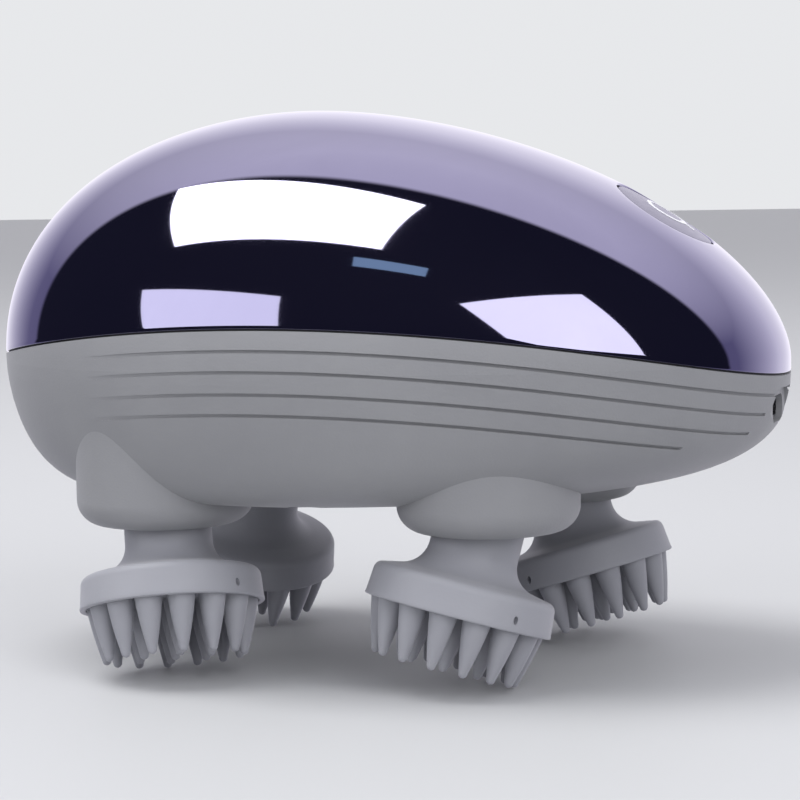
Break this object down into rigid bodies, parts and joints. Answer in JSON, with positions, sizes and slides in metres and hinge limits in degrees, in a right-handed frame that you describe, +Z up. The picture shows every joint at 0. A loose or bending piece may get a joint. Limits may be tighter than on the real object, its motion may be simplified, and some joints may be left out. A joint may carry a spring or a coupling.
{
  "type": "scalp massager brush",
  "caption": "Handheld electric scalp massager: egg-shaped shell over rotating oblique heads with silicone finger pads, a power button and a charging socket on the nose.",
  "frame": {"origin": "on the surface that the finger tips stand on, below the middle of the shell", "axes": "+X to the nose with the power button and the charging socket, +Y to the left, +Z up"},
  "size_m": [0.13, 0.088, 0.0888],
  "materials": {
    "cover_gloss": "mirror-gloss, dark indigo metallised lacquer",
    "housing_matte": "soft-touch matte grey",
    "head_soft": "matte silicone, light grey",
    "seal_dark": "matte",
    "button_silver": "satin silver lacquer",
    "light_ring": "translucent white",
    "steel": "turned steel",
    "screw_steel": "zinc-plated steel",
    "bronze": "sintered bronze",
    "gear_nylon": "natural nylon",
    "pinion_brass": "machined brass",
    "inner_plastic": "moulded, fine texture",
    "motor_cap": "moulded nylon",
    "cell_wrap": "shrink-wrapped cell",
    "board": "solder mask",
    "chips": "moulded epoxy",
    "socket_metal": "stamped, nickel-plated"
  },
  "bodies": {
    "shell": {"upper_cover": "cover_gloss", "lower_housing": "housing_matte", "shell_seal": "seal_dark", "tact_switch": "chips", "button_board": "board", "button_seal": "seal_dark", "drive_gear_axle": "steel", "motor_gearbox": "steel", "motor_can": "steel", "motor_end_cap": "motor_cap", "motor_terminals": "pinion_brass", "gear_deck": "inner_plastic", "deck_screws": "screw_steel", "case_screws": "screw_steel", "screw_plugs": "housing_matte", "motor_screws": "screw_steel", "battery_cell": "cell_wrap", "battery_cradle": "inner_plastic", "battery_strap": "inner_plastic", "control_board": "board", "board_chips": "chips", "board_screws": "screw_steel", "charge_socket": "socket_metal", "socket_tongue": "chips", "shaft_seals": "seal_dark", "lower_bearings": "steel", "upper_bushes": "bronze"},
    "power_button": {"power_button": "button_silver", "button_light_ring": "light_ring", "switch_plunger": "chips"},
    "drive": {"drive_gear": "gear_nylon"},
    "motor_output": {"motor_pinion": "pinion_brass", "motor_output_shaft": "steel"},
    "head_rear_right": {"head_gear_rear_right": "gear_nylon", "head_shaft_rear_right": "steel", "crank_hub_rear_right": "inner_plastic", "head_cup_rear_right": "head_soft", "finger_pad_rear_right": "head_soft", "head_screw_rear_right": "screw_steel"},
    "head_front_right": {"head_gear_front_right": "gear_nylon", "head_shaft_front_right": "steel", "crank_hub_front_right": "inner_plastic", "head_cup_front_right": "head_soft", "finger_pad_front_right": "head_soft", "head_screw_front_right": "screw_steel"},
    "head_front_left": {"head_gear_front_left": "gear_nylon", "head_shaft_front_left": "steel", "crank_hub_front_left": "inner_plastic", "head_cup_front_left": "head_soft", "finger_pad_front_left": "head_soft", "head_screw_front_left": "screw_steel"},
    "head_rear_left": {"head_gear_rear_left": "gear_nylon", "head_shaft_rear_left": "steel", "crank_hub_rear_left": "inner_plastic", "head_cup_rear_left": "head_soft", "finger_pad_rear_left": "head_soft", "head_screw_rear_left": "screw_steel"}
  },
  "joints": [
    {"name": "drive_spin", "type": "hinge", "parent": "shell", "child": "drive", "pos_m": [-0.0039, 0, 0.0409], "axis": [0, 0, 1], "continuous": true},
    {"name": "motor_spin", "type": "hinge", "parent": "shell", "child": "motor_output", "pos_m": [-0.0344, 0, 0.0409], "axis": [0, 0, 1], "continuous": true},
    {"name": "button_press", "type": "slide", "parent": "shell", "child": "power_button", "axis": [-0.5355, 0, -0.8445], "range_m": [0, 0.0006], "stiffness_N_per_m": 400},
    {"name": "head_spin_rear_right", "type": "hinge", "parent": "shell", "child": "head_rear_right", "pos_m": [-0.0304, -0.02209, 0.0294], "axis": [0, 0, 1], "continuous": true},
    {"name": "head_spin_front_right", "type": "hinge", "parent": "shell", "child": "head_front_right", "pos_m": [0.0226, -0.02209, 0.0294], "axis": [0, 0, 1], "continuous": true},
    {"name": "head_spin_front_left", "type": "hinge", "parent": "shell", "child": "head_front_left", "pos_m": [0.0226, 0.02209, 0.0294], "axis": [0, 0, 1], "continuous": true},
    {"name": "head_spin_rear_left", "type": "hinge", "parent": "shell", "child": "head_rear_left", "pos_m": [-0.0304, 0.02209, 0.0294], "axis": [0, 0, 1], "continuous": true}
  ],
  "couplings": [
    {"joint": "motor_spin", "follows": "drive_spin", "ratio": -4.0833},
    {"joint": "head_spin_rear_right", "follows": "drive_spin", "ratio": -2.45},
    {"joint": "head_spin_front_right", "follows": "drive_spin", "ratio": -2.45},
    {"joint": "head_spin_front_left", "follows": "drive_spin", "ratio": -2.45},
    {"joint": "head_spin_rear_left", "follows": "drive_spin", "ratio": -2.45}
  ]
}
